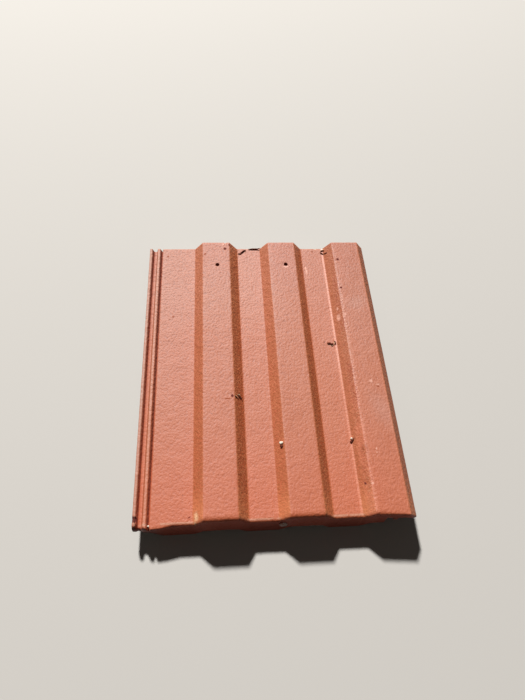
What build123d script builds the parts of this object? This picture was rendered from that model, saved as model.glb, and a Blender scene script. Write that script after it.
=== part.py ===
from build123d import *

import os
from math import atan2, cos, radians, sin, tan

# An interlocking concrete roof tile with three flat-topped ribs, cast in one piece.
# X runs across the tile, from the underlock on the left to the overlock on the right.
# Y runs up the roof slope, from the tail to the head, and Z is up, all in millimetres.
# The tile lies flat on its nibs and its nose, with the origin on the floor under its middle.

# The whole tile
TILE_LENGTH = 420.0
BODY_THICKNESS = 12.0
NOSE_DEPTH = 32.0
HEAD_EDGE_RADIUS = 1.0

# The ribs and the pans between them
RIB_COUNT = 3
RIB_PITCH = 100.0
RIB_HEIGHT = 15.0
RIB_TOP_WIDTH = 40.7
RIB_SLOPE_RUN = 12.15
SIDE_LAP = 14.3
RIB_TOP_RADIUS = 2.5
RIB_FOOT_RADIUS = 3.0
UNDERSIDE_RADIUS = 3.0

# The underlock, a strip of two grooves and two small ribs that the next tile covers
OUTER_RIB_WIDTH = 4.0
OUTER_GROOVE_WIDTH = 8.4
INNER_RIB_WIDTH = 3.8
INNER_GROOVE_WIDTH = 3.8
LOCK_RIB_RISE = 1.0
GROOVE_DEPTH = 7.0
GROOVE_DRAFT = 0.5
LOCK_RIB_BEVEL = 0.8

# The overlock, which hooks over the underlock of the next tile
HOOK_SIDE_GAP = 2.0
HOOK_END_GAP = 2.0
HOOK_DRAFT = 0.4
CHANNEL_GAP = 2.0
LIP_GAP = 1.0
LIP_SETBACK = 1.5

# The nose along the tail
NOSE_RADIUS = 6.0
NOSE_LEAN = 6.0
NOSE_THICKNESS = 24.0
NOSE_EDGE_BEVEL = 2.0
NOSE_SIDE_GAP = 3.0
LAP_CLEARANCE = 1.0

# Two weather bars behind the nose, under the body
WEATHER_BAR_COUNT = 2
WEATHER_BAR_DEPTH = 5.0
WEATHER_BAR_WIDTH = 7.0
WEATHER_BAR_SPACING = 22.0

# The nibs that hang on the batten, one under each pan
NIB_FACE_FROM_HEAD = 24.0
NIB_WIDTH = 26.0
NIB_LENGTH = 16.0
NIB_TAPER = 3.0
NIB_EDGE_RADIUS = 1.5

# The nail holes in the first two ribs
NAIL_HOLE_COUNT = 2
NAIL_HOLE_RADIUS = 2.5
NAIL_HOLE_FROM_HEAD = 44.0
NAIL_HOLE_SPACING = 103.0
FIRST_NAIL_OFFSET = 1.5

# What follows from the sizes above. Heights are counted from the top of the pans.
PAN_WIDTH = RIB_PITCH - RIB_TOP_WIDTH - 2 * RIB_SLOPE_RUN
FIRST_PAN_WIDTH = PAN_WIDTH + SIDE_LAP
COVER_WIDTH = RIB_COUNT * RIB_PITCH
UNDERLOCK_WIDTH = OUTER_RIB_WIDTH + OUTER_GROOVE_WIDTH + INNER_RIB_WIDTH + INNER_GROOVE_WIDTH
RIGHT_EDGE = COVER_WIDTH + SIDE_LAP
LIP_EDGE = RIGHT_EDGE - LIP_GAP * RIB_SLOPE_RUN / RIB_HEIGHT
TILE_WIDTH = UNDERLOCK_WIDTH + LIP_EDGE
GROOVE_FLOOR = LOCK_RIB_RISE - GROOVE_DEPTH
NOSE_END = COVER_WIDTH - UNDERLOCK_WIDTH - NOSE_SIDE_GAP
BEYOND = 40.0


def rib_outline(foot_height, crest_height, spread):
    """The four corners of each rib, at the given heights and widened by spread on each side."""
    corners = []
    for rib in range(RIB_COUNT):
        foot = FIRST_PAN_WIDTH + rib * RIB_PITCH
        crest = foot + RIB_SLOPE_RUN
        corners += [
            (foot - spread, foot_height),
            (crest - spread, crest_height),
            (crest + RIB_TOP_WIDTH + spread, crest_height),
            (crest + RIB_TOP_WIDTH + RIB_SLOPE_RUN + spread, foot_height),
        ]
    return corners


def underlock_outline():
    """The top of the side strip, from its outer edge to the first pan, with bevelled ribs."""
    outer_rib = -UNDERLOCK_WIDTH
    outer_groove = outer_rib + OUTER_RIB_WIDTH
    inner_rib = outer_groove + OUTER_GROOVE_WIDTH
    inner_groove = inner_rib + INNER_RIB_WIDTH
    bevel_foot = LOCK_RIB_RISE - LOCK_RIB_BEVEL
    return [
        (outer_rib, bevel_foot),
        (outer_rib + LOCK_RIB_BEVEL, LOCK_RIB_RISE),
        (outer_groove - LOCK_RIB_BEVEL, LOCK_RIB_RISE),
        (outer_groove, bevel_foot),
        (outer_groove + GROOVE_DRAFT, GROOVE_FLOOR),
        (inner_rib - GROOVE_DRAFT, GROOVE_FLOOR),
        (inner_rib, bevel_foot),
        (inner_rib + LOCK_RIB_BEVEL, LOCK_RIB_RISE),
        (inner_groove - LOCK_RIB_BEVEL, LOCK_RIB_RISE),
        (inner_groove, bevel_foot),
        (inner_groove + GROOVE_DRAFT, GROOVE_FLOOR),
        (-GROOVE_DRAFT, GROOVE_FLOOR),
        (0.0, -LOCK_RIB_BEVEL),
        (LOCK_RIB_BEVEL, 0.0),
    ]


def side_profile():
    """The tile seen from its side, much too deep, with the leaning nose at its tail."""
    lean = radians(NOSE_LEAN)
    foremost = NOSE_EDGE_BEVEL - NOSE_DEPTH
    touch_height = NOSE_RADIUS * (sin(lean) - 1)
    touch = (tan(lean) * (touch_height - foremost), touch_height)
    centre = touch[0] + NOSE_RADIUS * cos(lean)
    middle = radians((90 + NOSE_LEAN) / 2)
    halfway = (centre - NOSE_RADIUS * cos(middle), NOSE_RADIUS * (sin(middle) - 1))
    bottom = foremost - BEYOND
    below = [touch, (0, foremost), (BEYOND, bottom), (TILE_LENGTH, bottom), (TILE_LENGTH, 0), (centre, 0)]
    with BuildSketch(Plane.YZ) as profile:
        with BuildLine():
            ThreePointArc((centre, 0), halfway, touch)
            Polyline(*below)
        make_face()
    return profile.sketch.face()


def carried_across(face, outline):
    """Carries a flat face along a bent outline of X and Z points without turning it."""
    legs = []
    for (x1, z1), (x2, z2) in zip(outline, outline[1:]):
        way = Vector(x2 - x1, 0, z2 - z1)
        legs.append(extrude(Pos(x1, 0, z1) * face, amount=way.length, dir=way.normalized()))
    return legs[0].fuse(*legs[1:]).clean()


def space_below(outline, tail_end, head_end):
    """Everything under an outline of X and Z points, between two places along the tile."""
    low = -NOSE_DEPTH - 2 * BEYOND
    corners = [(outline[0][0] - BEYOND, low), (outline[0][0] - BEYOND, outline[0][1]), *outline]
    corners += [(outline[-1][0] + BEYOND, outline[-1][1]), (outline[-1][0] + BEYOND, low)]
    with BuildSketch(Plane.XZ) as section:
        with BuildLine():
            Polyline(*corners, close=True)
        make_face()
    return Pos(0, tail_end, 0) * extrude(section.sketch, amount=tail_end - head_end)


def overlock_underside():
    """The ceiling, hook, channel and lip that fit over the underlock of the next tile."""
    groove = COVER_WIDTH - UNDERLOCK_WIDTH + OUTER_RIB_WIDTH
    hook_left = groove + HOOK_SIDE_GAP
    hook_right = groove + OUTER_GROOVE_WIDTH - HOOK_SIDE_GAP
    hook_tip = GROOVE_FLOOR + HOOK_END_GAP
    ceiling = RIB_HEIGHT - BODY_THICKNESS
    channel = LOCK_RIB_RISE + CHANNEL_GAP
    lip = COVER_WIDTH + LIP_SETBACK
    return [
        (hook_left - HOOK_DRAFT, ceiling),
        (hook_left, hook_tip),
        (hook_right, hook_tip),
        (hook_right + HOOK_DRAFT, channel),
        (lip - HOOK_DRAFT, channel),
        (lip, LIP_GAP),
        (LIP_EDGE, LIP_GAP),
    ]


def body_underside(extra_depth):
    """The underside of the body, or of a bar that stands out of it by extra_depth."""
    half_slope = atan2(RIB_HEIGHT, RIB_SLOPE_RUN) / 2
    thickness = BODY_THICKNESS + extra_depth
    inset = thickness * tan(half_slope)
    ribs = rib_outline(-thickness, RIB_HEIGHT - thickness, -inset)
    return [(-UNDERLOCK_WIDTH, -thickness), *ribs[:-2]]


def nose_underside():
    """The underside of the nose, which sits in the pans of the tile below and arches over its ribs."""
    arch = RIB_HEIGHT - NOSE_DEPTH + LAP_CLEARANCE
    lapped_foot = SIDE_LAP + LAP_CLEARANCE
    ribs = rib_outline(-NOSE_DEPTH, arch, LAP_CLEARANCE)
    return [
        (-UNDERLOCK_WIDTH, arch),
        (lapped_foot - RIB_SLOPE_RUN, arch),
        (lapped_foot, -NOSE_DEPTH),
        *ribs[:-2],
        (NOSE_END, arch),
        (NOSE_END, RIB_HEIGHT - BODY_THICKNESS),
    ]


def lengthwise(shape, x, z, reach=0.05):
    """The straight edges along Y that pass through a point of the cross-section."""
    found = []
    for edge in shape.edges().filter_by(Axis.Y):
        middle = edge.position_at(0.5)
        if abs(middle.X - x) < reach and abs(middle.Z - z) < reach:
            found.append(edge)
    return found


def rounded_lengthwise(shape, corners, radius):
    """Rounds the edges along Y at some corners of the cross-section."""
    edges = [edge for x, z in corners for edge in lengthwise(shape, x, z)]
    return fillet(edges, radius)


def upper_block():
    """The upper surface and the rounded nose, over a much too deep block, with its bends rounded."""
    ribs = rib_outline(0.0, RIB_HEIGHT, 0.0)
    crests = [corner for corner in ribs if corner[1] > 0]
    feet = [corner for corner in ribs[:-1] if corner[1] == 0]
    block = carried_across(side_profile(), underlock_outline() + ribs)
    block = rounded_lengthwise(block, crests, RIB_TOP_RADIUS)
    return rounded_lengthwise(block, feet, RIB_FOOT_RADIUS)


def body_space():
    """What is taken away under the body, from behind the nose to past the head."""
    under = body_underside(0.0)
    space = space_below(under + overlock_underside(), NOSE_THICKNESS, TILE_LENGTH + BEYOND)
    return rounded_lengthwise(space, under[1:], UNDERSIDE_RADIUS)


def nose_space():
    """What is taken away under the nose, from in front of the tail to behind the nose."""
    return space_below(nose_underside() + overlock_underside(), -BEYOND, NOSE_THICKNESS)


def weather_bar(number):
    """A low bar across the underside, which follows the pans and the ribs."""
    start = NOSE_THICKNESS + WEATHER_BAR_SPACING * (number + 1) - WEATHER_BAR_WIDTH
    end = start + WEATHER_BAR_WIDTH
    left = SIDE_LAP + LAP_CLEARANCE
    roof = body_underside(-WEATHER_BAR_DEPTH) + [(NOSE_END, RIB_HEIGHT - BODY_THICKNESS + WEATHER_BAR_DEPTH)]
    floor = body_underside(WEATHER_BAR_DEPTH) + [(NOSE_END, RIB_HEIGHT - BODY_THICKNESS - WEATHER_BAR_DEPTH)]
    bar = space_below(roof, start, end) - space_below(floor, start, end)
    width = NOSE_END - left
    limits = Pos(left + width / 2, (start + end) / 2, 0) * Box(width, WEATHER_BAR_WIDTH, 2 * NOSE_DEPTH)
    return bar & limits


def nib(pan):
    """A tapered block under a pan, what its front view and its side view have in common."""
    place = Pos(SIDE_LAP + PAN_WIDTH / 2 + pan * RIB_PITCH, TILE_LENGTH - NIB_FACE_FROM_HEAD, 0)
    root, tip = -BODY_THICKNESS / 2, -NOSE_DEPTH
    narrow, wide = NIB_WIDTH / 2, NIB_WIDTH / 2 + NIB_TAPER
    short, long = NIB_LENGTH, NIB_LENGTH + NIB_TAPER
    front = Plane.XZ * Polygon((-wide, root), (-narrow, tip), (narrow, tip), (wide, root), align=None)
    side = Plane.YZ * Polygon((0, root), (0, tip), (short, tip), (long, root), align=None)
    block = extrude(front, -long) & extrude(side, wide, both=True)
    buried = block.faces().sort_by(Axis.Z)[-1].edges()
    shown = [edge for edge in block.edges() if edge not in buried]
    return place * fillet(shown, NIB_EDGE_RADIUS)


def nail_hole(number):
    """A round hole down through the top of a rib."""
    first = FIRST_PAN_WIDTH + RIB_SLOPE_RUN + RIB_TOP_WIDTH / 2 + FIRST_NAIL_OFFSET
    place = Pos(first + number * NAIL_HOLE_SPACING, TILE_LENGTH - NAIL_HOLE_FROM_HEAD, 0)
    return place * Cylinder(NAIL_HOLE_RADIUS, 2 * (RIB_HEIGHT + NOSE_DEPTH))


tile = upper_block() - body_space() - nose_space()
head_face = tile.faces().sort_by(Axis.Y)[-1]
tile = fillet(head_face.outer_wire().edges(), HEAD_EDGE_RADIUS)
for number in range(WEATHER_BAR_COUNT):
    tile += weather_bar(number)
for pan in range(RIB_COUNT):
    tile += nib(pan)
for number in range(NAIL_HOLE_COUNT):
    tile -= nail_hole(number)

tile = Pos(UNDERLOCK_WIDTH - TILE_WIDTH / 2, -TILE_LENGTH / 2, NOSE_DEPTH) * tile
os.makedirs("parts", exist_ok=True)
export_step(tile, "parts/roof_tile.step")
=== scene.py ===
# %% [markdown]
# # A coated concrete roof tile
# This lesson dresses one interlocking roof tile. The tile is cast in one piece, so the whole object is a
# single closed mesh. The solid model that comes first gives the exact size and place, and everything that is
# made here stays inside its box. It hides the plain solid and shows a finer skin in its place.

# %% Load the solid model
import itertools
import math

import bpy
import numpy as np
from mathutils import Matrix, Vector


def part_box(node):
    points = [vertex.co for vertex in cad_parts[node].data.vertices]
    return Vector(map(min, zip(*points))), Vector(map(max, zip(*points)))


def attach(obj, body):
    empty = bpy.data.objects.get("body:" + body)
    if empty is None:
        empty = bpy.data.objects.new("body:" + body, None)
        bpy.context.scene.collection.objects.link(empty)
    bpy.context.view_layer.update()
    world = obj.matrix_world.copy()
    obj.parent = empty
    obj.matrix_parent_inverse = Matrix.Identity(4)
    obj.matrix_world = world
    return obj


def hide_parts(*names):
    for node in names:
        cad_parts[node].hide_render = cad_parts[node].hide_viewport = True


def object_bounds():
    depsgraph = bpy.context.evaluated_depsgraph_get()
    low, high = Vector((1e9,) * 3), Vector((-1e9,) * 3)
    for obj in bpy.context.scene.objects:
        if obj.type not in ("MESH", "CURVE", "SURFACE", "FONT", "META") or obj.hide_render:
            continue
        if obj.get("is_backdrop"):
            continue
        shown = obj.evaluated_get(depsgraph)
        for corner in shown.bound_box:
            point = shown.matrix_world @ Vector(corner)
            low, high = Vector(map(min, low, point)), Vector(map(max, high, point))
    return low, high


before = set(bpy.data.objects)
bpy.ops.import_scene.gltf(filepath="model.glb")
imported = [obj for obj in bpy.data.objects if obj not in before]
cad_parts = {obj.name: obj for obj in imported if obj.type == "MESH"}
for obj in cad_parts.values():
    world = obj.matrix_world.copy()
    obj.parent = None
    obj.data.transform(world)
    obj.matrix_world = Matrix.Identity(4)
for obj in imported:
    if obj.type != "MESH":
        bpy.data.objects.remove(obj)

solid_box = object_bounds()
low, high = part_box("roof_tile")
print("solid", sorted(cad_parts), "from", [round(v, 4) for v in low], "to", [round(v, 4) for v in high])

# %% [markdown]
# ## The sizes of a real tile
# A maker of such tiles works in millimetres, so the shape is worked out in millimetres and turned into metres
# at the very end. X is counted from the left edge of the first pan, Y from the tail, and Z from the top of
# the pans. The three shifts that lead back to the solid model come from its own box.

# %% Sizes in millimetres
MM = 0.001
TILE_LENGTH = 420.0
RIB_PITCH = 100.0
RIB_COUNT = 3
RIB_HEIGHT = 15.0
RIB_TOP_WIDTH = 40.7
RIB_SLOPE_RUN = 12.15
FIRST_FOOT = 49.3
BODY_THICKNESS = 12.0
NOSE_DEPTH = 32.0
NOSE_THICKNESS = 24.0
UNDERLOCK_WIDTH = 20.0
PAN_WIDTH = 35.0

to_frame = np.array([low.x / MM + UNDERLOCK_WIDTH, high.y / MM - TILE_LENGTH, low.z / MM + NOSE_DEPTH])
print("shift from tile places to frame places in mm", to_frame.round(3))

# %% [markdown]
# ## The cross-section
# An extruded tile has the same cross-section all along its length. On a real one, every bend is rounded by
# the shaping roller. The upper outline could be drawn as a curve object, but then the underside would need a
# second curve that has nothing to do with the first. Here both are lists of matching corners, so that the
# point under each point of the top is always known. There are three undersides: the plain body, the two
# weather bars and the deep nose.

# %% Matching corners of the top and of the three undersides
GROOVE_FLOOR = -6.0
LOCK_TOP = 1.0
BEVEL_FOOT = 0.2
UNDER = -BODY_THICKNESS
CEILING = RIB_HEIGHT - BODY_THICKNESS
LIP_UNDER = 1.0
BAR_DEPTH = 5.0
LAP_GAP = 1.0
NOSE_END = 277.0
half_slope = math.atan2(RIB_HEIGHT, RIB_SLOPE_RUN) / 2
body_inset = BODY_THICKNESS * math.tan(half_slope)
bar_inset = (BODY_THICKNESS + BAR_DEPTH) * math.tan(half_slope)
arch = RIB_HEIGHT - NOSE_DEPTH + LAP_GAP
CREST_RADIUS, FOOT_RADIUS, SMALL_RADIUS = 2.5, 3.0, 0.4
corners = []


def corner(top, body, bar=None, nose=None, rounding=SMALL_RADIUS, under_rounding=0.0):
    """Notes one corner of the top with the points under it, and the radii at both."""
    corners.append((top, body, bar or body, nose or body, rounding, under_rounding))


def rib_side(foot, side):
    """The foot and the crest of a rib, from left to right. The side is 1 on its left and -1 on its right."""
    crest = foot + side * RIB_SLOPE_RUN
    foot_end = ((foot, 0.0), (foot + side * body_inset, UNDER), (foot + side * bar_inset, UNDER - BAR_DEPTH),
                (foot - side * LAP_GAP, -NOSE_DEPTH), FOOT_RADIUS, FOOT_RADIUS)
    crest_end = ((crest, RIB_HEIGHT), (crest + side * body_inset, CEILING),
                 (crest + side * bar_inset, CEILING - BAR_DEPTH), (crest - side * LAP_GAP, arch),
                 CREST_RADIUS, CREST_RADIUS)
    for end in (foot_end, crest_end)[::side]:
        corner(*end)
    return crest


# the outer side of the underlock, its two small ribs and its two grooves
corner((-20.0, UNDER + 0.6), (-19.4, UNDER))
corner((-20.0, BEVEL_FOOT), (-18.4, UNDER))
corner((-19.2, LOCK_TOP), (-18.0, UNDER))
corner((-16.5, LOCK_TOP), (-16.6, UNDER))
for x, z in [(-15.9, BEVEL_FOOT), (-13.7, GROOVE_FLOOR), (-10.0, GROOVE_FLOOR), (-8.2, BEVEL_FOOT),
             (-7.4, LOCK_TOP), (-4.4, LOCK_TOP), (-3.8, BEVEL_FOOT), (-1.2, GROOVE_FLOOR),
             (-0.7, GROOVE_FLOOR), (-0.3, -0.8), (0.6, 0.0)]:
    corner((x, z), (x, UNDER))
# the first pan, where the nose and the bars begin
corner((3.15, 0.0), (3.15, UNDER), nose=(3.15, arch))
corner((15.3, 0.0), (15.3, UNDER), nose=(15.3, -NOSE_DEPTH))
corner((17.3, 0.0), (17.3, UNDER), (15.3, UNDER - BAR_DEPTH), (17.3, -NOSE_DEPTH))
# the ribs, the last of which runs on into the overlock
for rib in range(RIB_COUNT):
    crest = rib_side(FIRST_FOOT + rib * RIB_PITCH, 1)
    if rib < RIB_COUNT - 1:
        rib_side(crest + RIB_TOP_WIDTH + RIB_SLOPE_RUN, -1)
# the end of the nose, then the hook, the channel and the lip of the overlock
corner((276.0, RIB_HEIGHT), (276.0, CEILING), (NOSE_END, CEILING - BAR_DEPTH), (NOSE_END, arch))
corner((278.0, RIB_HEIGHT), (278.0, CEILING), (NOSE_END, CEILING), (NOSE_END, CEILING))
for top_x, x, z in [(285.6, 285.6, CEILING), (286.0, 286.0, -4.0), (290.4, 290.4, -4.0), (290.8, 290.8, 3.0),
                    (299.0, 301.1, 3.0), (300.0, 301.5, LIP_UNDER)]:
    corner((top_x, RIB_HEIGHT), (x, z))
corner((crest + RIB_TOP_WIDTH, RIB_HEIGHT), (303.2, LIP_UNDER), rounding=CREST_RADIUS)
corner((313.085, LIP_UNDER + 0.5), (313.3, LIP_UNDER))
print(len(corners), "matching corners")

# %% [markdown]
# Each list of corners becomes a row of points, with the same count in every list. A straight stretch is cut
# into equal steps, and a bend is a true arc. The arc is a rational curve of second order, whose middle weight
# is the cosine of half the turn.

# %% Trace the outlines
STEP_ACROSS = 1.9
SHARP_REACH, LONGEST_REACH = 0.12, 0.45
ARC_STEPS = {SMALL_RADIUS: 2, FOOT_RADIUS: 5, CREST_RADIUS: 5}


def traced(points, radii, counts, arc_counts):
    """Points along a bent line: equal steps on its straights and arc_counts steps round each bend. A bend with
    no radius keeps its sharp corner as its middle point. No bend reaches further than a set share of a straight."""
    points = np.array(points, float)
    ways = np.diff(points, axis=0)
    lengths = np.linalg.norm(ways, axis=1)
    ways /= lengths[:, None]
    turns = np.arccos(np.clip((ways[:-1] * ways[1:]).sum(1), -1, 1))
    shorter = np.minimum(lengths[:-1], lengths[1:])
    reach = np.where(radii > 0, radii * np.tan(turns / 2), SHARP_REACH * shorter)
    reach = np.minimum(reach, LONGEST_REACH * shorter)
    pieces = []
    start = points[0]
    for k, count in enumerate(counts):
        last = k == len(counts) - 1
        end = points[-1] if last else points[k + 1] - ways[k] * reach[k]
        share = np.linspace(0, 1, count + 1)[:-1, None]
        pieces.append(start + (end - start) * share)
        if last:
            pieces.append(end[None])
            break
        start = points[k + 1] + ways[k + 1] * reach[k]
        t = np.linspace(0, 1, arc_counts[k] + 1)[:-1, None]
        weight = math.cos(turns[k] / 2) if radii[k] > 0 else 1e6
        parts = [(1 - t) ** 2, 2 * t * (1 - t) * weight, t ** 2]
        pieces.append((parts[0] * end + parts[1] * points[k + 1] + parts[2] * start) / sum(parts))
    return np.concatenate(pieces)


tops, bodies, bars, noses = ([row[k] for row in corners] for k in range(4))
top_radii = np.array([row[4] for row in corners[1:-1]])
under_radii = np.array([row[5] for row in corners[1:-1]])
leg_lengths = np.linalg.norm(np.diff(np.array(tops), axis=0), axis=1)
counts = np.maximum(1, np.round(leg_lengths / STEP_ACROSS - 0.8)).astype(int)
arc_counts = [ARC_STEPS[r] for r in top_radii]
outline = traced(tops, top_radii, counts, arc_counts)
under_body = traced(bodies, under_radii, counts, arc_counts)
under_bar = traced(bars, 0 * under_radii, counts, arc_counts)
under_nose = traced(noses, 0 * under_radii, counts, arc_counts)
ACROSS = len(outline)
print(ACROSS, "points across the tile")

# %% [markdown]
# ## The skin
# Seen from its side, the surface of the tile is one closed loop: along the top from the head to the tail,
# down the nose, back under the body and up the head's end. So the skin is a grid with two directions, across
# the tile and round that loop, and it closes by itself. Carving such a tile from a block with boolean cuts
# would also work, but it leaves long thin faces that can't carry the fine relief of cast concrete.

# %% The nose as a function of place and depth
PAN_RADIUS, RIB_RADIUS, END_RADIUS = 4.0, 6.2, 2.0
NOSE_LEAN, LAST_LEAN, END_LEAN = 8.0, 7.0, 1.5
NOSE_BEVEL = 2.0
HEAD_RADIUS = 1.0
foremost = NOSE_DEPTH - NOSE_BEVEL
rim = int(np.argmax(outline[:, 1] > 0))


def limited(values):
    """Values held between 0 and 1."""
    return np.clip(values, 0, 1)


def height_at(x):
    """The height of the upper outline over a place across the tile."""
    return np.interp(x, outline[rim:, 0], outline[rim:, 1])


def nose_edge(x):
    """The radius and the lean of the nose at a place across the tile, and the depth where its arc ends. The arc
    is rounder on the ribs. Towards both sides of the tile it shrinks and the line below it stands up."""
    ends = np.interp(x, [-14, -6, 0, 12, 26, 250, 305], [0, 0.5, 1, 0.7, 0, 0, 1])
    radius = PAN_RADIUS + (RIB_RADIUS - PAN_RADIUS) * limited(height_at(x) / RIB_HEIGHT)
    radius += (END_RADIUS - radius) * ends
    lean = np.interp(x, [190, 215], [NOSE_LEAN, LAST_LEAN])
    lean = np.radians(lean + (END_LEAN - lean) * ends)
    return radius, lean, radius * (1 - np.sin(lean))


def tail_place(x, depth):
    """How far the nose stands back at a place across the tile and a depth below its top: an arc, then a leaning
    line, then a bevel."""
    radius, lean, turned = nose_edge(x)
    centre = np.tan(lean) * (foremost - turned) + radius * np.cos(lean)
    depth = np.maximum(depth, 0)
    arc = centre - np.sqrt(np.clip(radius ** 2 - (radius - np.minimum(depth, turned)) ** 2, 0, None))
    line = np.tan(lean) * (foremost - depth)
    return np.where(depth < turned, arc, np.where(depth < foremost, line, depth - foremost))


print("the top ends", tail_place(np.array([0.0, 130.0, 313.0]), 0.0).round(2),
      "mm from the tail at the left, middle and right")

# %% [markdown]
# The rows of the grid follow. On the top they are evenly spaced from the head to the place where the nose
# begins to fall away. Down the nose they are close together in the arc. Under the tile the rows double where a
# weather bar or the nose begins, and the faces between two such rows stand upright.

# %% Lay out the rows round the loop
STEP_ALONG = 1.95
STEP_UNDER = 6.0
BAR_STARTS = (39.0, 61.0)
BAR_WIDTH = 7.0
# how many rows there are in the nose's arc, on its face, in the head's rounding and down the head's end
ARC_ROWS, FACE_ROWS, ROUND_ROWS, END_ROWS = 6, 9, 3, 6


def row(across, y):
    """One row of the grid, with an X, Y and Z for each point across."""
    return np.stack([across[:, 0], np.broadcast_to(y, len(across)), across[:, 1]], axis=1)


def between(a, b, shares):
    """Rows between two rows, at the given shares of the way."""
    return [a + (b - a) * share for share in shares]


own_depth = np.where(np.arange(ACROSS) < rim, outline[rim, 1] - outline[:, 1], 0)
thickness = np.linalg.norm(outline - under_body, axis=1)
head_round = np.minimum(HEAD_RADIUS, 0.45 * thickness)
head_row = row(outline, TILE_LENGTH - head_round)
tail_row = row(outline, tail_place(outline[:, 0], own_depth))
top_count = int(TILE_LENGTH / STEP_ALONG)
top_rows = between(head_row, tail_row, np.linspace(0, 1, top_count + 1))

drop = np.linalg.norm(outline - under_nose, axis=1)
arc_share = np.minimum(nose_edge(outline[:, 0])[2] / drop, 0.5)
bevel_share = np.clip((height_at(under_nose[:, 0]) - under_nose[:, 1] - foremost) / drop, 0.02, 0.2)
nose_rows = []
shares = [arc_share * (k / ARC_ROWS) ** 2 for k in range(1, ARC_ROWS + 1)]
shares += [arc_share + (1 - arc_share - bevel_share) * k / FACE_ROWS for k in range(1, FACE_ROWS + 1)]
shares += [1 - bevel_share / 2, np.ones(ACROSS)]
for share in shares:
    section = outline + (under_nose - outline) * share[:, None]
    depth = np.where(np.arange(ACROSS) < rim, outline[rim, 1], height_at(section[:, 0])) - section[:, 1]
    nose_rows.append(row(section, tail_place(section[:, 0], depth)))

foot_row = nose_rows[-1]
under_rows = between(foot_row, row(under_nose, NOSE_THICKNESS), np.linspace(0, 1, 6)[1:])
place = NOSE_THICKNESS
under_rows.append(row(under_body, place))
for start in BAR_STARTS:
    under_rows += [row(under_body, y) for y in np.linspace(place, start, 4)[1:]]
    under_rows += [row(under_bar, y) for y in np.linspace(start, start + BAR_WIDTH, 4)]
    place = start + BAR_WIDTH
    under_rows.append(row(under_body, place))
under_head = row(under_body, TILE_LENGTH - head_round)
under_count = int((TILE_LENGTH - place) / STEP_UNDER)
under_rows += between(row(under_body, place), under_head, np.linspace(0, 1, under_count + 1)[1:])

end_rows = []
round_share = head_round / np.maximum(thickness, 1e-6)
ends = [round_share * k / ROUND_ROWS for k in range(1, ROUND_ROWS + 1)]
ends += [round_share + (1 - 2 * round_share) * k / END_ROWS for k in range(1, END_ROWS)]
ends += [1 - round_share * k / ROUND_ROWS for k in range(ROUND_ROWS, 0, -1)]
for share in ends:
    section = under_body + (outline - under_body) * share[:, None]
    edge = np.minimum(np.minimum(share, 1 - share) * thickness, head_round)
    end_rows.append(row(section, TILE_LENGTH - head_round + np.sqrt(head_round ** 2 - (head_round - edge) ** 2)))

grid = np.array(top_rows + nose_rows + under_rows + end_rows)
AROUND = len(grid)
print(AROUND, "rows round the loop:", len(top_rows), "top", len(nose_rows), "nose", len(under_rows), "under",
      len(end_rows), "head")

# %% [markdown]
# ## Nail holes and nibs
# Two round holes go through the first two ribs near the head, and under each pan a tapered nib hangs the tile
# on its batten. Boolean cuts and joins would do it, but they slice the grid's faces into slivers. Instead a
# block of faces is left out of the grid, and rings of points lead from the block's edge to the hole or to the
# nib. Where two rings have different counts, a ladder of triangles joins them: each step of the ladder goes to
# whichever next point comes first along the way.

# %% Points, ladders and rings
points = [grid.reshape(-1, 3)]
quads = []
triangles = []
open_cells = np.zeros((AROUND, ACROSS - 1), bool)


def numbers(rows, columns):
    """The numbers of grid points, whose rows close up round the loop."""
    return (rows % AROUND) * ACROSS + columns


def add_points(new):
    """Adds points and returns their numbers."""
    start = sum(len(p) for p in points)
    points.append(np.asarray(new, float))
    return np.arange(start, start + len(new))


def closed(ring):
    """A ring with its first entry again at its end."""
    return np.append(ring, ring[0])


def ladder(a, b, along_a, along_b):
    """Triangles between two chains of points, each with its share of the way, which grows along the chain."""
    rungs_b = np.searchsorted(along_b[1:], along_a[1:], side="left").clip(0, len(b) - 1)
    rungs_a = np.searchsorted(along_a[1:], along_b[1:], side="right").clip(0, len(a) - 1)
    triangles.append(np.stack([a[:-1], a[1:], b[rungs_b]], axis=1))
    triangles.append(np.stack([b[1:], b[:-1], a[rungs_a]], axis=1))


def band(a, b):
    """Quads between two rings with the same count."""
    quads.append(np.stack([closed(a)[:-1], closed(a)[1:], closed(b)[1:], closed(b)[:-1]], axis=1))


def opened(first_row, last_row, spot, clear):
    """Leaves out the grid's faces round a spot and returns the block's edge points, from the lowest angle on."""
    columns = np.flatnonzero(np.abs(grid[first_row, :, 0] - spot[0]) < clear[0])
    inside = np.flatnonzero(np.abs(grid[first_row:last_row, columns[0], 1] - spot[1]) < clear[1]) + first_row
    r0, r1, c0, c1 = inside[0] - 1, inside[-1] + 1, columns[0] - 1, columns[-1] + 1
    open_cells[r0:r1, c0:c1] = True
    edge = np.concatenate([
        numbers(np.full(c1 - c0, r0), np.arange(c0, c1)), numbers(np.arange(r0, r1), np.full(r1 - r0, c1)),
        numbers(np.full(c1 - c0, r1), np.arange(c1, c0, -1)), numbers(np.arange(r1, r0, -1), np.full(r1 - r0, c0))])
    angles = angles_round(points[0][edge], spot)
    order = np.argsort(angles)
    return edge[order], angles[order]


def angles_round(places, spot):
    """Angles of places round a spot, from 0 to a full turn."""
    return np.arctan2(places[:, 1] - spot[1], places[:, 0] - spot[0]) % (2 * math.pi)


def full_turn(angles):
    """The angles of a ring, with its first one again a full turn on."""
    return np.append(angles, angles[0] + 2 * math.pi)


# %% Nail holes
NAIL_RADIUS = 2.6
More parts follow.
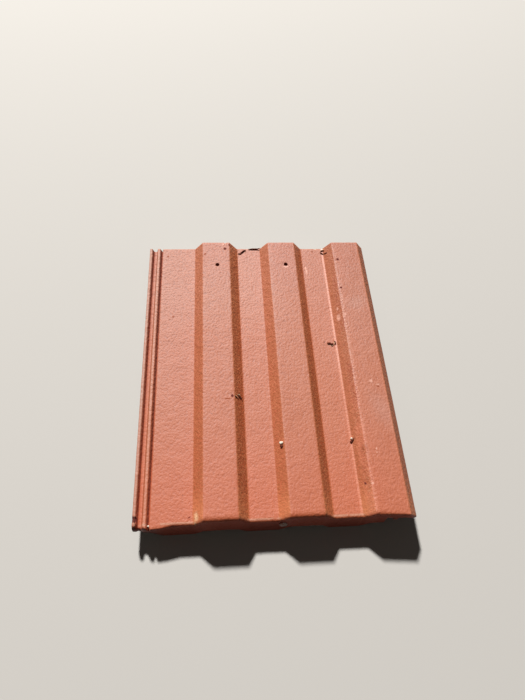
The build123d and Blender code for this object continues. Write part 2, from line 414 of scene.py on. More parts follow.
# a row of the plain body, between the two weather bars
BODY_ROW = 16
NAIL_CLEAR = (5.2, 5.2)
NAIL_PLACES = [(83.3, 376.0), (186.3, 376.0)]
COLLAR = [(0.62, 0.0), (0.3, 0.0), (0.12, -0.05), (0.04, -0.25), (0.0, -0.7)]
under_first = len(top_rows) + len(nose_rows) + BODY_ROW
under_last = AROUND - len(end_rows)
for spot in NAIL_PLACES:
    edge, angles = opened(0, len(top_rows), spot, NAIL_CLEAR)
    circle = np.array(spot) + NAIL_RADIUS * np.column_stack([np.cos(angles), np.sin(angles)])
    edge_flat = points[0][edge][:, :2]
    levels = [(share, RIB_HEIGHT + sink) for share, sink in COLLAR]
    levels += [(0.0, z) for z in np.linspace(RIB_HEIGHT - 2.5, CEILING, 6)]
    previous = edge
    for share, z in levels:
        ring = add_points(np.column_stack([circle + (edge_flat - circle) * share, np.full(len(circle), z)]))
        band(previous, ring)
        previous = ring
    edge, under_angles = opened(under_first, under_last, spot, NAIL_CLEAR)
    ladder(closed(previous), closed(edge), full_turn(angles), full_turn(under_angles))
    print("nail hole at", spot, "with", len(angles), "points round")

# %% [markdown]
# A nib is a block with rounded edges that grows narrower downwards, and its face towards the tail stays
# upright because it bears on the batten. Its rings are rounded rectangles, and the last ones close its foot.

# %% Nibs
NIB_FACE = TILE_LENGTH - 24.0
NIB_WIDTH = 26.0
NIB_LENGTH = 16.0
NIB_TAPER = 3.0
NIB_ROOT = -BODY_THICKNESS / 2
NIB_RADIUS = 1.5
NIB_CLEAR = (17.5, 11.5)
NIB_MIDDLE = NIB_FACE + 9.0


def nib_ring(middle, z, inset):
    """A rounded rectangle at one height of the nib, drawn in by inset, from its corner points."""
    spread = NIB_TAPER * (z + NOSE_DEPTH) / (NIB_ROOT + NOSE_DEPTH)
    half = NIB_WIDTH / 2 + spread - inset
    front, back = NIB_FACE + inset, NIB_FACE + NIB_LENGTH + spread - inset
    centre_y = (front + back) / 2
    turns = [(middle + half, centre_y), (middle + half, back), (middle - half, back), (middle - half, front),
             (middle + half, front), (middle + half, centre_y)]
    radii = np.full(4, min(NIB_RADIUS, 0.4 * half, 0.4 * (back - front)))
    flat = traced(turns, radii, [4, 12, 8, 12, 4], [4] * 4)[:-1]
    return np.column_stack([flat, np.full(len(flat), z)])


for pan in range(RIB_COUNT):
    middle = FIRST_FOOT - PAN_WIDTH / 2 + pan * RIB_PITCH
    spot = (middle, NIB_MIDDLE)
    edge, edge_angles = opened(under_first, under_last, spot, NIB_CLEAR)
    depths = [(UNDER, -0.9), (UNDER - 0.25, -0.3), (UNDER - 0.9, 0.0)]
    depths += [(z, 0.0) for z in np.linspace(UNDER - 2.5, NIB_RADIUS - NOSE_DEPTH, 7)]
    tips = NIB_RADIUS * (1 - np.cos(np.linspace(0, math.pi / 2, 5)[1:]))
    falls = NIB_RADIUS * (1 - np.sin(np.linspace(0, math.pi / 2, 5)[1:]))
    depths += list(zip(falls - NOSE_DEPTH, tips))
    depths += [(-NOSE_DEPTH, inset) for inset in (3.0, 5.0, 7.0)]
    rings = []
    for z, inset in depths:
        place = nib_ring(middle, z, inset)
        start = angles_round(place, spot).argmin()
        rings.append(add_points(np.roll(place, -start, axis=0)))
    root_angles = angles_round(points[-len(depths)], spot)
    ladder(closed(rings[0]), closed(edge), full_turn(root_angles), full_turn(edge_angles))
    for a, b in zip(rings, rings[1:]):
        band(b, a)
    count = len(rings[-1]) // 2
    last = rings[-1]
    quads.append(np.stack([last[:count - 1], last[::-1][:count - 1], last[::-1][1:count], last[1:count]], axis=1))
    print("nib under pan", pan + 1, "with", len(rings), "rings")

# %% [markdown]
# The left and right ends of the grid are still open slits, a fraction of a millimetre wide. One ladder closes
# each of them. After that the points that lie on the same spot are merged, and faces that have shrunk to
# nothing are dropped.

# %% Close the sides and merge
r, c = np.nonzero(~open_cells)
quads.append(np.stack([numbers(r, c), numbers(r + 1, c), numbers(r + 1, c + 1), numbers(r, c + 1)], axis=1))


def close_side(column):
    """Joins the top's end of the grid to the rest of the loop, and returns the ladder's triangles."""
    last_top = len(top_rows) - 1
    front = numbers(np.arange(last_top + 1), np.full(last_top + 1, column))
    behind = np.concatenate([[0], np.arange(AROUND - 1, last_top - 1, -1)])
    back = numbers(behind, np.full(len(behind), column))
    shares = []
    for chain in (front, back):
        way = np.concatenate([[0], np.cumsum(np.linalg.norm(np.diff(points[0][chain], axis=0), axis=1))])
        shares.append(way / way[-1])
    ladder(front, back, *shares)
    return [triangles.pop(), triangles.pop()]


triangles += [t[:, ::-1] for t in close_side(0)] + close_side(ACROSS - 1)


def without_shrunk(quads, triangles):
    """Quads with one side of no length become triangles, and faces with less than three corners are dropped."""
    repeated = quads == np.roll(quads, -1, axis=1)
    folded = (quads[:, 0] == quads[:, 2]) | (quads[:, 1] == quads[:, 3])
    whole = quads[(repeated.sum(1) == 0) & ~folded]
    short = (repeated.sum(1) == 1) & ~folded
    after = (repeated[short].argmax(1)[:, None] + np.array([1, 2, 3])) % 4
    triangles = np.concatenate([triangles, np.take_along_axis(quads[short], after, axis=1)])
    apart = triangles != np.roll(triangles, -1, axis=1)
    return whole, triangles[apart.all(1)]


def merged(spots, fineness):
    """Which points to keep, and which of them each point becomes, when points that round to the same are one."""
    _, first, same = np.unique((spots * fineness).round().astype(np.int64), axis=0, return_index=True,
                               return_inverse=True)
    return first, same.reshape(-1)


places = np.concatenate(points)
first, same = merged(places, 1e4)
places = places[first]
quads, triangles = without_shrunk(same[np.concatenate(quads)], same[np.concatenate(triangles)])
used, fresh = np.unique(np.concatenate([quads.ravel(), triangles.ravel()]), return_inverse=True)
places = places[used]
quads, triangles = np.split(fresh.reshape(-1), [quads.size])
quads, triangles = quads.reshape(-1, 4), triangles.reshape(-1, 3)
print(len(places), "points,", len(quads), "quads and", len(triangles), "triangles")


def mesh_of(name, places, quads, triangles):
    """A Blender mesh made of whole arrays of places, in metres, and of corner numbers."""
    mesh = bpy.data.meshes.new(name)
    mesh.vertices.add(len(places))
    mesh.vertices.foreach_set("co", places.astype(np.float32).ravel())
    loops = np.concatenate([quads.ravel(), triangles.ravel()]).astype(np.int32)
    mesh.loops.add(len(loops))
    mesh.loops.foreach_set("vertex_index", loops)
    sizes = np.concatenate([np.full(len(quads), 4), np.full(len(triangles), 3)])
    starts = np.concatenate([[0], np.cumsum(sizes)[:-1]]).astype(np.int32)
    mesh.polygons.add(len(sizes))
    mesh.polygons.foreach_set("loop_start", starts)
    mesh.update(calc_edges=True)
    return mesh


def placed(name, data):
    """A new object in the scene."""
    made = bpy.data.objects.new(name, data)
    bpy.context.scene.collection.objects.link(made)
    return made


# %% [markdown]
# ## The relief of cast concrete
# No cast tile is as true as its drawing. The shaping roller leaves low waves, its arrises crumble a little, and
# the cut at the tail is never quite straight. A Displace modifier could add this, but it would push points out
# of the tile's box. Here each point moves inwards along its own normal, by a depth that is worked out for all
# points at once, so the tile never grows.

# %% Smooth lumps
LATTICE = 40


def lumps(places, step, seed):
    """Smooth noise from -1 to 1: random values at the knots of a lattice with the given steps, blended with
    smooth steps in each of the three directions. The lattice repeats after its last knot."""
    knots = np.random.default_rng(seed).uniform(-1, 1, (LATTICE,) * 3)
    spot = places / np.array(step, float) + 10 * LATTICE
    knot = np.floor(spot).astype(int)
    share = spot - knot
    share = share * share * (3 - 2 * share)
    total = np.zeros(len(places))
    for shift in itertools.product((0, 1), repeat=3):
        near = (knot + shift) % LATTICE
        total += knots[tuple(near.T)] * np.abs(1 - np.array(shift) - share).prod(1)
    return total


# %% How far each point bends outwards or inwards
FULL_BEND = 0.09
skin = mesh_of("roof_tile_skin", places * MM, quads, triangles)
normals = np.zeros(len(places) * 3, np.float32)
skin.vertex_normals.foreach_get("vector", normals)
normals = normals.reshape(-1, 3).astype(float)
edges = np.zeros(len(skin.edges) * 2, np.int32)
skin.edges.foreach_get("vertices", edges)
edges = edges.reshape(-1, 2)
both_ways = np.concatenate([edges, edges[:, ::-1]])
joined = np.bincount(both_ways[:, 0], minlength=len(places))


def mean_of_neighbours(values):
    """The mean of a value over the points at the other ends of each point's edges."""
    return np.bincount(both_ways[:, 0], values[both_ways[:, 1]], minlength=len(places)) / joined


apart = places[both_ways[:, 1]] - places[both_ways[:, 0]]
rise = (apart * normals[both_ways[:, 0]]).sum(1) / np.maximum((apart ** 2).sum(1), 0.04)
bend = np.bincount(both_ways[:, 0], rise, minlength=len(places)) / joined
for _ in range(2):
    bend = 0.5 * bend + 0.5 * mean_of_neighbours(bend)
arris, hollow = limited(-bend / FULL_BEND), limited(bend / FULL_BEND)
print("arris on", int((arris > 0.5).sum()), "points, hollow on", int((hollow > 0.5).sum()))

# %% Lower the points
# how far points sink, in millimetres: all of them, in the waves, at arrises and where the tail was cut
MEAN_SINK, LONG_WAVE, SHORT_WAVE = 0.10, 0.06, 0.04
ARRIS_WEAR, ARRIS_CRUMBLE, CUT_WEAR = 0.05, 0.16, 0.22
above_foot = limited((places[:, 2] + NOSE_DEPTH) / 1.5)
sink = MEAN_SINK + LONG_WAVE * lumps(places, (40, 26, 30), 1) + SHORT_WAVE * lumps(places, (11, 8, 9), 2)
near_tail = limited(1 - places[:, 1] / 9) * limited((places[:, 2] + 20) / 10)
crumble = limited(lumps(places, (6, 7, 5), 3)) + limited(lumps(places, (2.6, 3, 3), 4)) * 0.6
uneven_cut = limited(lumps(places, (9, 30, 12), 5))
sink += arris * (ARRIS_WEAR + ARRIS_CRUMBLE * crumble) * above_foot + near_tail * CUT_WEAR * uneven_cut
relief = places - normals * (sink * above_foot)[:, None]
print("points sink by up to", round(float(sink.max()), 3), "mm")

# %% [markdown]
# Where something hard has struck the tile, a flake is missing. Each flake is cut with a ball: points inside
# the ball move out to its surface, which leaves the shell-shaped hollow of broken concrete.

# %% Chips
# place and radius of each ball, in millimetres
CHIPS = [((-0.9, 0.8, 0.4), 2.4), ((-18.4, 13.2, 1.7), 3.8), ((-19.8, 288.5, 0.6), 1.6), ((95.5, 419.6, 15.0), 1.8),
         ((238.0, 419.6, 0.2), 1.6)]
chipped = np.zeros(len(places))
for centre, radius in CHIPS:
    way = relief - np.array(centre)
    far = np.linalg.norm(way, axis=1)
    reach = radius * (1 + 0.12 * lumps(relief, (1.6, 1.6, 1.6), 6))
    inside = (far < reach) & (normals @ np.array([0, 0, 1]) > -0.4)
    facing = (way * normals).sum(1)
    depth = np.sqrt(np.clip(reach ** 2 - far ** 2 + facing ** 2, 0, None)) + facing
    relief -= normals * np.where(inside, np.clip(depth, 0, 0.8 * radius), 0)[:, None]
    chipped = np.maximum(chipped, limited(1.6 * (1 - far / (reach + 0.5))))
    print("chip at", centre, "moves", int(inside.sum()), "points")

# %% [markdown]
# The material has to know what a place on the tile is, so the mesh carries masks, with one value for each
# point: where the coat is, where arrises and hollows are, what has chipped, which walls of the grooves face away
# from the lamp and are darkened as painted shade, which faces are slopes, which of those look to the right, and
# what faces the tail.

# %% Put the relief and the masks into the mesh
SHARP_BEND = 48.0
upward = normals[:, 2]
on_head = limited((places[:, 1] - TILE_LENGTH + 0.6) / 0.4) * limited(1.4 - np.abs(upward) * 2)
below = (places[:, 2] < UNDER - 0.2) & (places[:, 1] > 100)
coat = limited((upward + 0.45) / 0.35) * (1 - on_head) * (1 - below)
in_groove = (places[:, 0] < 0.5) & (places[:, 0] > -17) & (upward > -0.2) & (places[:, 1] > 4)
# groove walls that face right, away from the lamp; the material darkens them as painted shade
shaded_groove_wall = in_groove * limited((0.3 - places[:, 2]) / 1.2) * limited(normals[:, 0] / 0.3)
slope = limited((0.96 - upward) / 0.16) * limited((upward - 0.2) / 0.2) * (places[:, 0] > 40)
lee = slope * limited(normals[:, 0] / 0.4)
# faces towards the tail, away from the lamp; the material tints them redder and darker as painted shade
front = limited((-normals[:, 1] - 0.2) / 0.5)
skin.vertices.foreach_set("co", ((relief + to_frame) * MM).astype(np.float32).ravel())
point_masks = {"coat": coat, "arris": arris, "hollow": hollow, "chipped": chipped, "shaded_groove_wall": shaded_groove_wall,
               "slope": slope, "lee": lee, "front": front}
for name, values in point_masks.items():
    skin.attributes.new(name, "FLOAT", "POINT").data.foreach_set("value", values.astype(np.float32))
skin.shade_smooth()
skin.set_sharp_from_angle(angle=math.radians(SHARP_BEND))
skin.update()
tile = placed("roof_tile_skin", skin)
print("coated", round(100 * float(coat.mean())), "% of the points, chipped", int((chipped > 0.3).sum()))

# %% [markdown]
# ## Helpers for materials
# A material is a small network of nodes. These helpers put a node in place, set its options, and either link
# or set each input. An output is wrapped, so that outputs can be added and multiplied with plain signs, and each
# sign puts a Math node. One call for each node would do the same, but the formulas would be hard to read.

# %% Helpers for nodes
def put(tree, kind, inputs=(), **options):
    """Adds a node. Its inputs are pairs of a name or number and either a value or another node's output."""
    node = tree.nodes.new(kind)
    for name, value in options.items():
        setattr(node, name, value)
    for name, value in dict(inputs).items():
        if isinstance(value, Output):
            tree.links.new(value.socket, node.inputs[name])
        else:
            node.inputs[name].default_value = value
    return node


class Output:
    """An output of a node. Signs between outputs and numbers put Math nodes into the same tree."""

    def __init__(self, socket):
        self.socket = socket

    def to(self, kind, inputs, output=0, **options):
        """Puts another node into the tree and returns one of its outputs."""
        return Output(put(self.socket.id_data, kind, inputs, **options).outputs[output])

    def maths(self, operation, *others, clamp=False):
        """The output of a Math node whose first input is this output."""
        return self.to("ShaderNodeMath", dict(enumerate((self, *others))), operation=operation, use_clamp=clamp)

    def __mul__(self, other):
        return self.maths("MULTIPLY", other)

    def __add__(self, other):
        return self.maths("ADD", other)

    def __sub__(self, other):
        return self.maths("SUBTRACT", other)

    def __rsub__(self, other):
        return self.to("ShaderNodeMath", {0: other, 1: self}, operation="SUBTRACT")


def outputs(node):
    """The outputs of a node by their names."""
    return {socket.name: Output(socket) for socket in node.outputs}


def noise(place, scale, detail=2.0, roughness=0.5, stretch=None):
    """The value of a Noise Texture, about 0.5 in the middle. A stretch multiplies the parts of the place."""
    if stretch:
        place = place.to("ShaderNodeVectorMath", {0: place, 1: stretch}, operation="MULTIPLY")
    return place.to("ShaderNodeTexNoise", {"Vector": place, "Scale": scale, "Detail": detail,
                                           "Roughness": roughness}, "Fac")


def cells(place, scale):
    """How far a place is from the middle of its cell in a Voronoi Texture."""
    return place.to("ShaderNodeTexVoronoi", {"Vector": place, "Scale": scale, "Randomness": 1.0}, "Distance")


def ramp(value, low, high, to_low=0.0, to_high=1.0):
    """Maps a value smoothly from one range to another, and holds it at the ends."""
    return value.to("ShaderNodeMapRange", {"Value": value, 1: low, 2: high, 3: to_low, 4: to_high},
                    interpolation_type="SMOOTHSTEP")


def blended(share, a, b, kind="MIX"):
    """A Mix node for colours. A colour is an output or three numbers."""
    inputs = {0: share, 6: a, 7: b}
    known = next(value for value in inputs.values() if isinstance(value, Output))
    inputs = {number: (*value, 1) if isinstance(value, tuple) else value for number, value in inputs.items()}
    return known.to("ShaderNodeMix", inputs, 2, data_type="RGBA", blend_type=kind)


def group(name, inputs, results):
    """A new node group with named sockets, its inputs, and the place on the object."""
    tree = bpy.data.node_groups.new(name, "ShaderNodeTree")
    for socket_name, kind, value in inputs:
        socket = tree.interface.new_socket(socket_name, in_out="INPUT", socket_type="NodeSocket" + kind)
        if value is not None:
            socket.default_value = value
    for socket_name, kind in results:
        tree.interface.new_socket(socket_name, in_out="OUTPUT", socket_type="NodeSocket" + kind)
    return tree, outputs(tree.nodes.new("NodeGroupInput")), object_place(tree)


def use(tree, made, inputs=()):
    """Places a node group in a material and returns its outputs."""
    return outputs(put(tree, "ShaderNodeGroup", inputs, node_tree=made))


def object_place(tree):
    """Object coordinates, which are metres on the tile itself."""
    return outputs(tree.nodes.new("ShaderNodeTexCoord"))["Object"]


def new_look(name):
    """A new material, its empty tree, and the place on the object."""
    look = bpy.data.materials.new(name)
    look.use_nodes = True
    look.node_tree.nodes.clear()
    return look, look.node_tree, object_place(look.node_tree)


def finish_look(tree, height, inputs):
    """The Principled BSDF of a material, with a bump from a height in millimetres."""
    bump = put(tree, "ShaderNodeBump", {"Strength": 1.0, "Distance": MM, "Height": height})
    shader = put(tree, "ShaderNodeBsdfPrincipled", {**inputs, "Normal": outputs(bump)["Normal"]})
    put(tree, "ShaderNodeOutputMaterial", {"Surface": outputs(shader)["BSDF"]})


print("node helpers are ready")

# %% [markdown]
# ## The ripple of the coat
# The coat is sprayed on the fresh tile while it moves under the nozzles, and it dries with fine ripples that
# lie mostly across the tile, over the grain of the sand below. A stretched noise makes the ripple, and two
# finer ones the grain. The group gives a height in millimetres, which a Bump node turns into a normal.

# %% Node group: cast ripple
ripple_group, given, place = group("cast_ripple", [("Ripple", "Float", 0.2), ("Grain", "Float", 0.2),
                                                   ("Coarse", "Float", 1.0)],
                                   [("Height", "Float"), ("Sand", "Float")])
wave = noise(place, 170.0, 1.0, stretch=(0.65, 0.8, 0.8))
lump = noise(place, 380.0, 1.0, stretch=(0.85, 0.74, 0.74))
sand = noise(place, 760.0, 2.0, 0.6, stretch=(1.0, 0.8, 0.8))
patch = ramp(noise(place, 34.0), 0.38, 0.62, 0.35, 1.35)
height = wave * patch * given["Ripple"] + (sand * 0.6 + lump * 0.9) * given["Grain"]
put(ripple_group, "NodeGroupOutput", {"Height": height * given["Coarse"], "Sand": sand * 0.5 + lump * 0.5})
print("cast ripple has", len(ripple_group.nodes), "nodes")

# %% [markdown]
# ## Ragged spots
# Weather leaves marks of a few millimetres: grit that has stuck, stains, rubbed places and bare chips. Each one
# is a ragged oval at a named place on the tile. The distance from its centre, divided by its half sizes, is
# roughened with noise and turned into a mask.

# %% Node group: ragged spot
spot_group, given, place = group(
    "ragged_spot", [("Centre", "Vector", None), ("Half sizes", "Vector", None), ("Turn", "Float", 0.0),
                    ("Ragged", "Float", 0.5), ("Softness", "Float", 0.3)], [("Mask", "Float")])
way = place.to("ShaderNodeVectorMath", {0: place, 1: given["Centre"]}, operation="SUBTRACT")
way = place.to("ShaderNodeVectorRotate", {"Vector": way, "Angle": given["Turn"]}, rotation_type="Z_AXIS")
way = place.to("ShaderNodeVectorMath", {0: way, 1: given["Half sizes"]}, operation="DIVIDE")
far = place.to("ShaderNodeVectorMath", {0: way}, "Value", operation="LENGTH")
edge = far + (noise(place, 900.0) - 0.5) * given["Ragged"]
mask = ramp(edge, given["Softness"] + 1.0, 1.0 - given["Softness"])
put(spot_group, "NodeGroupOutput", {"Mask": mask})
print("ragged spot has", len(spot_group.nodes), "nodes")

# %% [markdown]
# ## Bare concrete
# Under the coat the concrete is a pale grey with a touch of cream. Its sand shows as lighter and darker grains,
# and small air pores are left where it met the mould; the pores are painted dark, which is painted shade in them.

# %% Node group: bare concrete
bare_group, given, place = group("bare_concrete", [], [("Color", "Color"), ("Height", "Float")])
sand = noise(place, 750.0, 2.0, 0.7)
pore = ramp(cells(place, 150.0), 0.16, 0.05) * ramp(noise(place, 60.0), 0.5, 0.6)
tone = blended(ramp(noise(place, 22.0, 4.0, 0.6), 0.3, 0.7), (0.30, 0.265, 0.22), (0.42, 0.38, 0.32))
tone = blended(ramp(sand, 0.35, 0.7), tone, (0.52, 0.48, 0.41))
put(bare_group, "NodeGroupOutput", {"Color": blended(pore, tone, (0.10, 0.085, 0.07)),
                                    "Height": sand * 0.09 - pore * 0.5})
print("bare concrete has", len(bare_group.nodes), "nodes")

# %% [markdown]
# ## The coated concrete
# One material dresses the whole tile. Its coat is a terracotta paint with a slight gloss, uneven in tone, and
# worn where an arris catches every knock. Masks from the mesh say where the coat is, where it has chipped and
# where dirt gathers, and noise makes their limits ragged. Two more kinds of mask follow the place on the tile.

# %% Material: masks and places
coated, tree, place = new_look("coated_concrete")
coat, arris, hollow, chipped, shaded_groove_wall, slope, lee, front = (
    outputs(put(tree, "ShaderNodeAttribute", attribute_name=name))["Fac"] for name in point_masks)
bare = use(tree, bare_group)
where = outputs(put(tree, "ShaderNodeSeparateXYZ", {0: place}))


def along(axis, start, end, to_start=0.0, to_end=1.0):
    """A value that changes smoothly between two places on an axis, both in millimetres on the tile."""
    shift = to_frame["XYZ".index(axis)]
    return ramp(where[axis], (start + shift) * MM, (end + shift) * MM, to_start, to_end)


def stripe(middle, half_width, axis="X"):
    """A soft band round one place on an axis, both in millimetres."""
    off = where[axis] - (middle + to_frame["XYZ".index(axis)]) * MM
    return ramp(off.maths("ABSOLUTE"), half_width * MM, 0.4 * half_width * MM)


coarse = along("Y", 60, 400) * along("X", 20, 280, 1.3, 0.5) + 0.7
ripple = use(tree, ripple_group, {"Ripple": 0.36, "Grain": 0.78, "Coarse": coarse * 0.5 + 0.38})
drift = noise(place, 9.0, 3.0, 0.55, stretch=(1.0, 0.45, 1.0))
mottle = noise(place, 60.0, 3.0, 0.6)
speck = noise(place, 420.0, 2.0, 0.65)
fine = ramp(noise(place, 980.0), 0.5, 0.4)
dots = ramp(cells(place, 95.0), 0.11, 0.05) * ramp(mottle, 0.5, 0.6)
pitted = ramp(noise(place, 560.0, stretch=(0.55, 1.7, 0.55)), 0.60, 0.38, 0.0, 0.85)
dusty = ramp(noise(place, 480.0, 1.0), 0.5, 0.6)
# specks for the slopes away from the lamp, which paint the shade of their grain
lee_relief_shade = ramp(noise(place, 640.0, 1.0), 0.5, 0.4)
scuff = ramp(noise(place, 620.0, 1.0), 0.52, 0.60)
pits = ramp(noise(place, 540.0, 1.0, stretch=(1.0, 1.3, 1.0)), 0.50, 0.40)
stretches = ramp(noise(place, 14.0, 1.0, stretch=(0.0, 1.0, 0.0)), 0.42, 0.58, 0.35, 1.0)
print("masks and places take", len(tree.nodes), "nodes")

# %% [markdown]
# ## The layers of the paint
# Years on a roof have changed the paint a little differently at each place. So its colour is built in layers,
# like a glaze: each layer has the share with which it lies on the ones below, and its colour. A tint multiplies
# what is below it instead of hiding it.

# %% Layers of the paint
TINT = "MULTIPLY"


def painted(paint, layers):
    """Lays layers on a colour. Each has a share and a colour, and a tint says so at its end."""
    for share, colour, *kind in layers:
        paint = blended(share, paint, colour, *kind)
    return paint


paint = blended(ramp(drift, 0.3, 0.7), (0.534, 0.147, 0.068), (0.549, 0.168, 0.095))
paint = painted(paint, [
    # the tone of the whole coat and its sand, which is darker and coarser towards the head
    (ramp(mottle, 0.35, 0.7, 0.0, 0.35), (0.60, 0.198, 0.12)),
    (ramp(ripple["Sand"], 0.5, 0.36) * coarse * 0.4, (0.34, 0.074, 0.03)),
    (fine * along("Y", 120, 400) * along("X", 60, 20, 0.4, 0.6), (0.36, 0.10, 0.05)),
    # painted sheen: the coat turns paler and bluer towards the head, most on the left, and the flats have lost some
    # of their red
    (1.0, blended(along("Y", -60, 440), (0.88, 0.70, 0.485), (0.95, 0.975, 0.97)), TINT),
    ((slope * -0.75 + 1.0) * along("Y", 10, 150, 0.15, 1.0), (0.912, 1.0, 1.0), TINT),
    (along("Y", 230, 340) * along("X", 200, 130) * 0.12, (0.58, 0.36, 0.29)),
    (along("Y", 180, 400) * along("X", 110, 240), (0.95, 0.95, 0.95), TINT),
    (along("Y", 280, 180) * stripe(200, 80), (0.975, 0.95, 0.88), TINT),
    (along("X", 262, 285), (0.96, 0.98, 1.0), TINT),
    (along("Y", 300, 400) * along("Z", 9, 14), (0.985, 0.92, 0.89), TINT),
    (dots * 0.65, (0.16, 0.04, 0.02)),
    # the slopes are pitted and dusty; those away from the lamp get painted shade, a tint that is redder at their
    # feet and duller at their crests, and dark painted specks
    (slope * pitted, (0.34, 0.088, 0.024)),
    (along("Y", 50, 15) * slope * 0.5, (0.68, 0.22, 0.09)),
    (lee * along("Y", 0, 140, 0.35, 1.0), blended(along("Z", 1, 14), (1.0, 0.77, 0.44), (0.94, 0.84, 0.52)), TINT),
    (slope * stripe(254, 14), (0.92, 0.97, 0.98), TINT),
    (dusty * (lee * along("Y", 0, 420, 0.3, 0.35) + slope * 0.2), (0.64, 0.26, 0.11)),
    (slope * along("Y", 180, 360), (1.0, 0.93, 0.82), TINT),
    (lee * lee_relief_shade * 0.5, (0.24, 0.05, 0.012)),
    # edges are rubbed; a pale band on the lip's crest is painted light, and painted shade darkens the hollows at
    # the slopes' feet and the groove walls that face away from the lamp
    (stripe(301.2, 2.2) * 0.2, (0.66, 0.24, 0.14)),
    (arris * ramp(speck, 0.42, 0.62) * 0.12, (0.62, 0.30, 0.20)),
    (hollow * slope * ramp(mottle, 0.3, 0.6) * 0.2, (0.30, 0.07, 0.025)),
    (shaded_groove_wall * along("Y", 150, 400, 0.5, 0.95), (0.28, 0.05, 0.014)),
    # the ribs of the underlock are dusty, and the wall below the inner rib is darker, partly dust and partly
    # painted shade
    (stripe(-18.2, 3.0) * 0.65, (0.44, 0.21, 0.14)),
    (stripe(-8.9, 1.7) * 0.5, (0.42, 0.14, 0.07)),
    (stripe(-6.0, 1.8) * 0.25, (0.56, 0.28, 0.18)),
    # the crest of the third rib is scuffed and pitted, and a pale painted highlight runs along its foot
    (stripe(260.0, 7.0) * scuff * 0.3, (0.66, 0.34, 0.22)),
    (stripe(263.0, 3.2) * scuff * stretches * along("Y", 120, 250, 0.05, 0.6) * along("Y", 380, 335, 0.4, 1.0),
     (0.80, 0.44, 0.33)),
    (stripe(259.2, 7.0) * along("Y", 240, 120) * ramp(mottle, 0.35, 0.55) * 0.5, (0.62, 0.19, 0.10)),
    (stripe(260.0, 6.0) * pits * stretches * 0.7, (0.26, 0.03, 0.008)),
    (stripe(248.4, 2.0) * along("Y", 150, 230, 0.3, 0.5),
     blended(along("Y", 150, 230), (0.72, 0.26, 0.15), (0.76, 0.36, 0.26))),
    # a pale painted highlight runs along the rim above the nose in the pans; the nose faces away from the lamp and
    # is tinted redder and darker towards its bottom, with a darker left end, all painted shade
    (stripe(7.4, 1.8, "Y") * along("Z", 4, 1) * ramp(mottle, 0.42, 0.52) * 0.5, (0.56, 0.31, 0.21)),
    (front, blended(along("Z", -20, 5), (0.82, 0.50, 0.42), (1.0, 0.62, 0.46)), TINT),
    (front * along("X", 22, 0) * 0.6, (0.10, 0.03, 0.02)),
])
print("with its layers the paint takes", len(tree.nodes), "nodes")

# %% [markdown]
# ## The marks on this tile
# Each mark has its place in millimetres on the tile, its half sizes and, where it isn't straight, its turn. The
# kinds are bare concrete where the coat is gone, dark pits and holes, brown stains, pale lime or rubbed coat,
# and a wide thin haze. A few marks are painted light and shade: the dark in the nail holes and in a chip, the lit
# top and the shaded side of a small bump, and a highlight along the foot of a rib. Marks painted by hand would be
# hard to move, so one table holds all their places.

# %% Places of the marks
MARKS = {
    "bare": [((53.4, 12.4, 5), (2.9, 5, 4.6), 0.15), ((52.4, 6, 1.6), (1.3, 2.2, 3)),
             ((119.5, 7.2, 14.6), (1.3, 1.2, 1.4)), ((204.2, 7.2, 14.6), (1, 1.1, 1.3))],
    # the first two dark marks paint the shade inside the nail holes, with some dirt round them
    "dark": [((83.3, 376, 12), (3.1, 3.1, 6)), ((186.3, 376, 12), (3.3, 3.3, 6)),
             ((267.4, 385.3, 15), (2.2, 2.2, 1)), ((265.2, 331.1, 15), (1.8, 1.9, 1)),
             ((255.8, 41.9, 8), (0.9, 2.2, 2.4), 0.5),
             ((95.2, 407, 15), (2.4, 2.4, 1.4), 0.5), ((102, 414.8, 15), (1.6, 1.8, 1.4)),
             # the second mark on this line paints the shade in the chip at the near left corner
             ((99.1, 159.6, 15), (1.8, 2.1, 1), 0.3), ((-18, 13.8, -1.5), (3.4, 3.7, 5)),
             ((-17.5, 2, -3), (4, 2.5, 5)), ((45, 13.2, 0), (2, 0.6, 1), 0.5)],
    "stains_and_shade": [((19, 293, 0), (1.6, 1.3, 1)), ((50.3, 301.5, 0.5), (1.6, 1.3, 1.2)),
              ((64.8, 396.5, 15), (2.2, 1.3, 1), 0.4), ((7.8, 404.8, 0), (1.4, 1.8, 1)),
              # the second mark on this line paints the shaded side of a small bump on the overlock
              ((92.8, 155.8, 15), (3.4, 0.9, 1)), ((292.2, 167.4, 15), (1.7, 1, 1)),
              ((232.8, 413.6, 0), (1.5, 1.3, 1)), ((196, 410, 10), (3, 3, 4))],
    "pale": [((92.4, 416.2, 15), (1.3, 2.4, 1.4)), ((264.5, 284, 12), (2, 3, 4)),
             ((255.9, 282.5, 8.2), (3.2, 5.4, 3.4)), ((256.3, 297, 8.7), (1.5, 2.6, 2)),
             ((186.3, 371.4, 15), (4.2, 1.8, 1)),
             # the first mark on this line is a painted highlight along the foot of the second rib
             ((219.5, 376, 0), (1.5, 8, 1), 0.08), ((283.9, 175.6, 15), (1.9, 2.1, 1)),
             # the first mark on this line paints the lit top of the small bump
             ((292.4, 170.6, 15), (2, 1.1, 1)), ((262.8, 39.9, 15), (1.6, 1.6, 1)),
             ((274.9, 82.4, 15), (1, 1.3, 1)), ((274.8, 77.9, 15), (0.9, 1, 1))],
    "haze": [((293, 134, 15), (11, 22, 2), 0.3), ((283, 304, 15), (13, 9, 2), 0.4)],
}


def marks_of(kind, ragged=1.2, softness=0.3):
    """The largest mask of all marks of a kind."""
    total = None
    for centre, halves, *turn in MARKS[kind]:
        mask = use(tree, spot_group, {"Centre": tuple((np.array(centre) + to_frame) * MM),
                                      "Half sizes": tuple(np.array(halves) * MM), "Turn": -sum(turn),
                                      "Ragged": ragged, "Softness": softness})["Mask"]
        total = total.maths("MAXIMUM", mask) if total else mask
    return total


